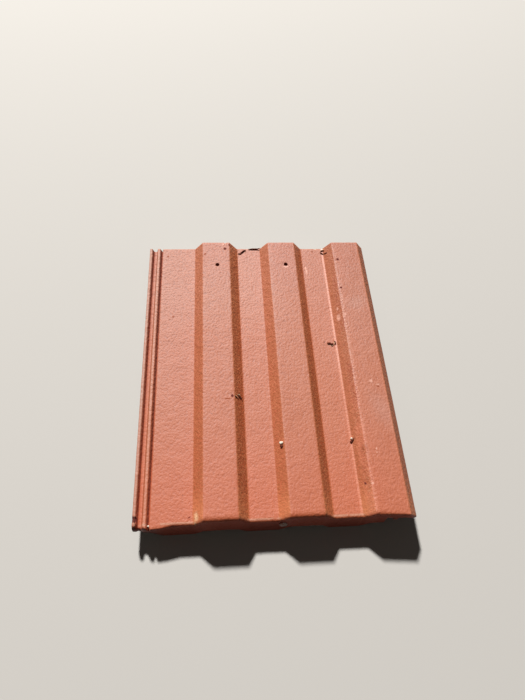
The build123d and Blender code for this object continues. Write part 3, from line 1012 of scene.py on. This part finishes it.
dark, pale, stains_and_shade = (marks_of(kind) for kind in ("dark", "pale", "stains_and_shade"))
gone = marks_of("bare", 2.2, 0.55) * 0.85
haze = marks_of("haze", 0.4, 0.9)
flaked = ramp(speck * 0.5 + chipped, 0.55, 0.75)
fresh = blended(ramp(speck, 0.35, 0.65), (0.55, 0.30, 0.15), (0.86, 0.52, 0.30))
paint = painted(paint, [
    # these layers also carry the painted highlights and painted shade named in the table of marks
    (pale * 0.55, (0.80, 0.44, 0.34)),
    (haze * 0.15, (0.52, 0.35, 0.31)),
    (stains_and_shade * 0.7, (0.22, 0.04, 0.01)),
    (gone.maths("MAXIMUM", flaked * 0.6), fresh),
    (dark * 0.92, (0.10, 0.004, 0.0)),
])
print({kind: len(found) for kind, found in MARKS.items()})

# %% [markdown]
# The paint lies on the bare concrete wherever the mask of the coat says so. Where it ends or has gone there is a
# small step, and the dark and brown marks, the groove walls in painted shade and bare places are duller than the
# coat.

# %% The finished material
COAT_STEP = 0.08
covered = ramp((mottle - 0.5) * 0.9 + coat, 0.4, 0.6)
dull = dark.maths("MAXIMUM", stains_and_shade).maths("MAXIMUM", gone.maths("MAXIMUM", shaded_groove_wall))
gloss = dull * 0.4 + ramp(ripple["Sand"], 0.3, 0.7, 0.56, 0.66)
height = covered.to("ShaderNodeMix", {0: covered, 2: bare["Height"], 3: ripple["Height"]}, data_type="FLOAT")
finish_look(tree, (covered - gone) * COAT_STEP + height, {
    "Base Color": blended(covered, bare["Color"], paint),
    "Roughness": gloss.maths("ADD", (1.0 - covered) * 0.4, clamp=True),
    "Specular IOR Level": 0.78, "Specular Tint": (0.7, 0.9, 1.0, 1)})
skin.materials.append(coated)
print("coated concrete has", len(tree.nodes), "nodes")

# %% [markdown]
# ## Crumbs and dry stalks
# A few pale, grey and brown crumbs lie on the tile, with bits of dark twig and pale straw. They are real lumps,
# because each throws a small shadow that a painted mark could not. A crumb is a ball whose radius follows noise.
# A stalk is a thin tube along a bent path, and it narrows to a point at both ends. Two dark crumbs and a dark stalk
# lie close in front of the two pale crumbs and stand for their shade: dark pieces put where shade falls.

# %% Shells for small pieces
CRUMB_RINGS, CRUMB_TURNS, CRUMB_SWELL = 11, 14, 0.28
STALK_RINGS, STALK_TURNS = 22, 7


def shell(rows):
    """Points and faces of a grid of closed rings, from the first to the last, whose end rings have shrunk to
    points. The rings turn anticlockwise seen against the way from the first to the last."""
    count, around = rows.shape[:2]
    at = np.arange(count * around).reshape(count, around)
    on = np.roll(at, -1, axis=1)
    faces = np.stack([at[:-1], on[:-1], on[1:], at[1:]], axis=-1).reshape(-1, 4)
    return rows.reshape(-1, 3), faces


def turned_by(count):
    """Even angles of a full turn."""
    return np.arange(count) / count * 2 * math.pi


def small_piece(name, shells, look):
    """One object made of several shells, merged at their poles, in frame metres."""
    starts = np.cumsum([0] + [len(p) for p, _ in shells[:-1]])
    spots = np.concatenate([p for p, _ in shells])
    faces = np.concatenate([f + start for (_, f), start in zip(shells, starts)])
    first, same = merged(spots, 1e5)
    quads, triangles = without_shrunk(same[faces], np.zeros((0, 3), np.int64))
    mesh = mesh_of(name, (spots[first] + to_frame) * MM, quads, triangles)
    mesh.shade_smooth()
    mesh.materials.append(look)
    print(name, "has", len(mesh.polygons), "faces")
    return placed(name, mesh)


def crumb(centre, radii, seed):
    """A lump: points of a ball at even steps of height angle and turn, with radii that follow smooth noise."""
    height, turn = np.meshgrid(np.linspace(-math.pi / 2, math.pi / 2, CRUMB_RINGS), turned_by(CRUMB_TURNS),
                               indexing="ij")
    ways = np.stack([np.cos(height) * np.cos(turn), np.cos(height) * np.sin(turn), np.sin(height)], axis=-1)
    swell = 1 + CRUMB_SWELL * lumps(ways.reshape(-1, 3), (0.8, 0.8, 0.8), seed).reshape(height.shape)
    swell[0], swell[-1] = swell[0, 0], swell[-1, 0]
    ways[0, :, :2] = ways[-1, :, :2] = 0
    return shell(np.array(centre) + ways * swell[..., None] * np.array(radii))


def stalk(path, thickness):
    """A tube: rings round a smooth curve through the path's corners. Its radius is the square root of a sine, so
    it closes at both ends."""
    path = np.array(path, float)
    share = np.linspace(0, 1, STALK_RINGS)
    knots = np.linspace(0, 1, len(path))
    line = np.stack([np.interp(share, knots, path[:, k]) for k in range(3)], axis=1)
    line[1:-1] = (line[:-2] + 2 * line[1:-1] + line[2:]) / 4
    ahead = np.gradient(line, axis=0)
    ahead /= np.linalg.norm(ahead, axis=1)[:, None]
    side = np.cross(ahead, (0, 0, 1))
    side /= np.linalg.norm(side, axis=1)[:, None]
    over = np.cross(side, ahead)
    turn = turned_by(STALK_TURNS)
    radius = thickness / 2 * np.sqrt(limited(np.sin(share * math.pi)))
    ring = side[:, None] * np.cos(turn)[None, :, None] - over[:, None] * np.sin(turn)[None, :, None]
    return shell(line[:, None] + ring * radius[:, None, None])


# %% Materials of the crumbs and stalks
def small_look(name, dark_tone, light_tone, roughness, grain):
    """A matt material with two tones of noise and a sandy grain."""
    look, tree, place = new_look(name)
    tones = blended(ramp(noise(place, 700.0, 3.0), 0.35, 0.65), dark_tone, light_tone)
    sandy = use(tree, ripple_group, {"Ripple": 0.0, "Grain": grain})
    finish_look(tree, sandy["Height"], {"Base Color": tones, "Roughness": roughness})
    return look


lime = small_look("pale_lime", (0.62, 0.56, 0.45), (0.86, 0.82, 0.72), 0.85, 0.3)
husk_and_shade_look = small_look("dry_husk_and_painted_shade", (0.06, 0.004, 0.001), (0.16, 0.035, 0.01), 0.95, 0.2)
# the stone is paler and pinker than its own grey, which paints light on the pebble in the nose's shade
stone = small_look("grey_stone", (0.75, 0.46, 0.36), (1.0, 0.90, 0.86), 0.9, 0.3)
straw = small_look("dry_straw", (0.42, 0.25, 0.13), (0.72, 0.50, 0.32), 0.9, 0.1)
print("looks of the small pieces:", [look.name for look in (lime, husk_and_shade_look, stone, straw)])

# %% Place them on the tile
# a crumb has its middle, its half sizes and its seed, and a stalk has its path and its thickness, in millimetres
LITTER = {
    "pale_crumbs": (lime, [
        crumb((157.9, 95, 11.6), (2.4, 2.3, 2.6), 11), crumb((249.3, 101.2, 1.3), (1.5, 2, 2), 12),
        crumb((-1.4, 6.2, -3.2), (1.3, 1.3, 1.5), 31)]),
    "grey_crumbs": (stone, [
        crumb((155, 2.3, -9), (5, 2.15, 8), 23), crumb((249.2, 416, 1.1), (2.2, 2, 1.7), 26)]),
    "brown_crumbs_and_shade_lumps": (husk_and_shade_look, [
        # these two dark crumbs sit in front of the two pale crumbs and paint their shade
        crumb((158.2, 91.4, 11.2), (2, 2.1, 1.6), 21), crumb((248.5, 97.6, 0.9), (2, 2, 1.2), 22),
        crumb((238.5, 244, 0.8), (2.7, 1.7, 1), 14), crumb((242.5, 242.2, 0.8), (1.9, 2.1, 1.2), 15),
        crumb((231.9, 246.4, 0.3), (0.6, 0.6, 0.5), 16), crumb((118.4, 409.2, 0.5), (2.7, 1.2, 1), 17),
        crumb((247, 409.8, 0.5), (1.8, 1.2, 0.8), 19), crumb((90, 408.2, 14.1), (1.5, 1.7, 0.8), 20)]),
    "dark_stalks_and_shade_stalk": (husk_and_shade_look, [
        stalk([(102.3, 159.6, 14.5), (103.6, 158.8, 13.7), (105.2, 157.4, 11.9)], 1.1),
        stalk([(107, 160.7, 9.3), (109, 160.4, 6.9), (110.8, 160.1, 4.8)], 1.2),
        crumb((110.7, 160.3, 4.8), (1.2, 1.3, 1.1), 24), stalk([(107.4, 164.8, 8.9), (108.7, 166.8, 7.2)], 0.8),
        # this dark stalk beside the second pale crumb paints the shade at its side
        stalk([(251.8, 102.2, 3.7), (251.4, 99.6, 3.2), (249.6, 97.4, 1.4)], 1.3),
        stalk([(245.5, 247.4, 0.7), (247.5, 246.4, 1.2), (247.9, 243.6, 1.2), (245.7, 241.2, 0.6)], 1.3),
        stalk([(118.6, 409.6, 1.2), (121.6, 412.2, 1.2), (124.8, 415.4, 1), (128.4, 416.6, 0.8)], 2),
        stalk([(244.9, 412.2, 0.6), (247.6, 409.4, 0.8), (249.9, 407.2, 1.3)], 1.5),
        stalk([(249.9, 407.2, 1.3), (252.3, 406.6, 4.4), (254.9, 405.8, 7.6)], 1.1),
        stalk([(131, 418.2, 0.8), (138, 418.8, 1), (146, 418.6, 1), (150.8, 418.8, 2.9)], 1.9)]),
    "pale_stalks": (straw, [
        stalk([(102.2, 161.1, 14.5), (104.8, 159.4, 12.3), (108.4, 156.9, 8)], 1),
        stalk([(105.2, 163.2, 11.8), (108.4, 162.9, 8.1), (110.9, 162.5, 5)], 1.1),
        stalk([(107.8, 163.4, 9), (109.9, 165.6, 6.4)], 0.9), crumb((99, 156.6, 14.2), (1.1, 1, 0.7), 25),
        crumb((246.2, 244.2, 0.5), (0.9, 1.2, 0.5), 27),
        stalk([(239.9, 240.4, 0.4), (242.7, 239.6, 0.7), (245.5, 241, 0.4)], 0.6),
        stalk([(245.6, 414.4, 0.6), (248.8, 415.4, 1.6), (251.6, 413.8, 4.2)], 1.7)]),
}
litter = [small_piece(name, shells, look) for name, (look, shells) in LITTER.items()]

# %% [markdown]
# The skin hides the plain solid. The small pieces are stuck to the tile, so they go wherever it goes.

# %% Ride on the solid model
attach(tile, "root")
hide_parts("roof_tile")
for piece in litter:
    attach(piece, "root")
print("the skin and", len(litter), "small pieces ride on the solid model")

# %% [markdown]
# ## Floor, light and camera
# The tile lies on a plain pale floor. A soft lamp behind and to the left lights the tops and leaves the nose in
# shade, as the low light does in the photograph, and a weak even light fills the shadows.

# %% Floor
FLOOR_HALF = 2.4
floor_mesh = bpy.data.meshes.new("floor")
floor_mesh.from_pydata([(x * FLOOR_HALF, y * FLOOR_HALF, 0) for x, y in ((-1, -1), (1, -1), (1, 1), (-1, 1))],
                       [], [(0, 1, 2, 3)])
floor_look = bpy.data.materials.new("plain_floor")
floor_look.use_nodes = True
floor_shader = floor_look.node_tree.nodes["Principled BSDF"]
floor_shader.inputs["Base Color"].default_value = (0.5, 0.49, 0.47, 1)
floor_shader.inputs["Roughness"].default_value = 0.9
floor_mesh.materials.append(floor_look)
floor = placed("floor", floor_mesh)
floor.visible_diffuse = False
floor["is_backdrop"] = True
print("floor of", 2 * FLOOR_HALF, "m")

# %% Light
TO_LAMP = np.array([-0.188, 0.682, 0.707])
LAMP_FAR = 9.0
LAMP_SIZE = 0.78
LAMP_POWER = 1500.0
FILL_STRENGTH = 0.055
lamp_data = bpy.data.lights.new("soft_lamp", "AREA")
lamp_data.shape = "DISK"
lamp_data.size = LAMP_SIZE
lamp_data.energy = LAMP_POWER
lamp_data.color = (1.0, 0.97, 0.93)
lamp = placed("soft_lamp", lamp_data)
lamp.location = TO_LAMP / np.linalg.norm(TO_LAMP) * LAMP_FAR
lamp.rotation_euler = Vector(lamp.location).to_track_quat("Z", "Y").to_euler()

world = bpy.data.worlds.new("even_light")
world.use_nodes = True
background = world.node_tree.nodes["Background"].inputs
background["Color"].default_value = (1.0, 0.86, 0.77, 1)
background["Strength"].default_value = FILL_STRENGTH
bpy.context.scene.world = world
bpy.context.scene.view_settings.view_transform = "Standard"
print("lamp at", tuple(round(v, 2) for v in lamp.location))

# %% [markdown]
# The camera's place and turn were fitted to the edges of the tile in the photograph: it looks steeply down from
# the tail's side, turned a little about the vertical and about its own axis.

# %% Camera
CAMERA_PLACE = (-0.063226, -0.327173, 0.637468)
CAMERA_TURNS = [(-9.6544, "Z"), (30.559, "X"), (7.2283, "Z")]
CAMERA_LENS = 25.975
camera_data = bpy.data.cameras.new("camera")
camera_data.lens = CAMERA_LENS
camera_data.sensor_width = 36.0
camera_data.clip_start = 0.01
camera = placed("camera", camera_data)
turn, tilt, roll = (Matrix.Rotation(math.radians(angle), 3, axis) for angle, axis in CAMERA_TURNS)
camera.matrix_world = Matrix.Translation(CAMERA_PLACE) @ (turn @ tilt @ roll).to_4x4()
bpy.context.scene.camera = camera
print("camera at", CAMERA_PLACE)

# %% [markdown]
# ## Sizes of both models
# The box of the solid model and the box of everything that is seen are written down side by side, so that a
# look shows whether the finer skin has kept to the size of the part.

# %% Sizes of both models
bpy.context.view_layer.update()
looks_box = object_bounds()
for name, box in (("solid", solid_box), ("looks", looks_box)):
    print(name, "box", [[round(v, 4) for v in c] for c in box])
